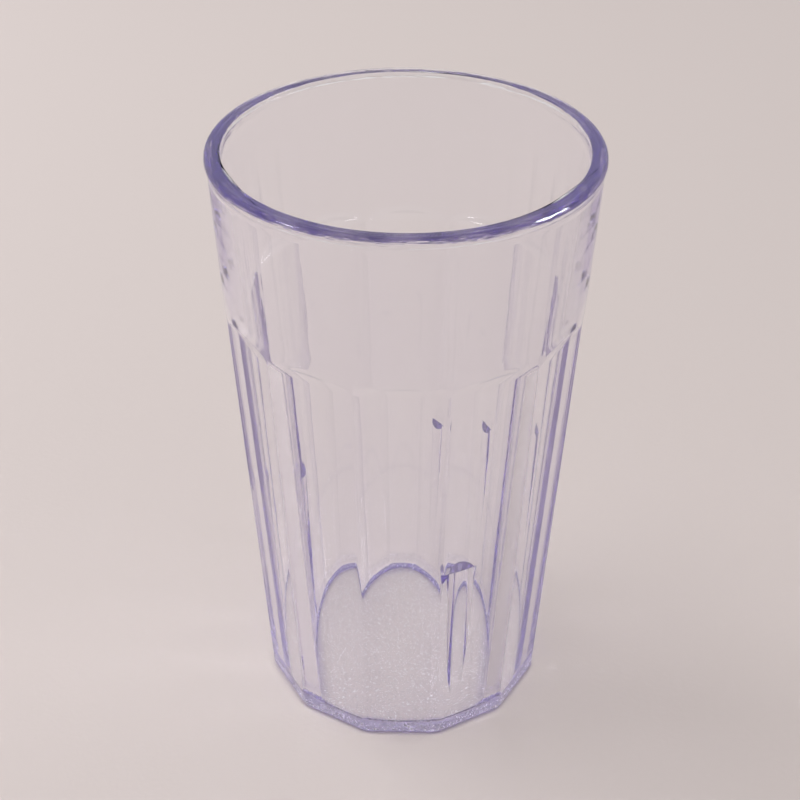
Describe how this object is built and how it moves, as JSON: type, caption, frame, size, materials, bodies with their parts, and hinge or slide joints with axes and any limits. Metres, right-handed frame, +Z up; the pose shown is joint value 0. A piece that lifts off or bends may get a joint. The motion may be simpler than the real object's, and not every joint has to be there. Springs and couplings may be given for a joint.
{
  "type": "clear plastic tumbler",
  "caption": "Clear tapered drinking tumbler with flat panels below a smooth round band, a rounded rim, a thin floor and upright stacking lugs inside.",
  "frame": {"origin": "centre of the foot, on the surface the tumbler stands on", "axes": "+Z up along the tumbler's axis, out of its mouth; -Y towards the front of the picture, where one panel nearly faces; +X to the right"},
  "size_m": [0.0842, 0.0842, 0.1388],
  "materials": {
    "clear_plastic": "clear, polished, with a faint violet tint where it is thick"
  },
  "bodies": {
    "root": {"tumbler": "clear_plastic"}
  },
  "joints": []
}
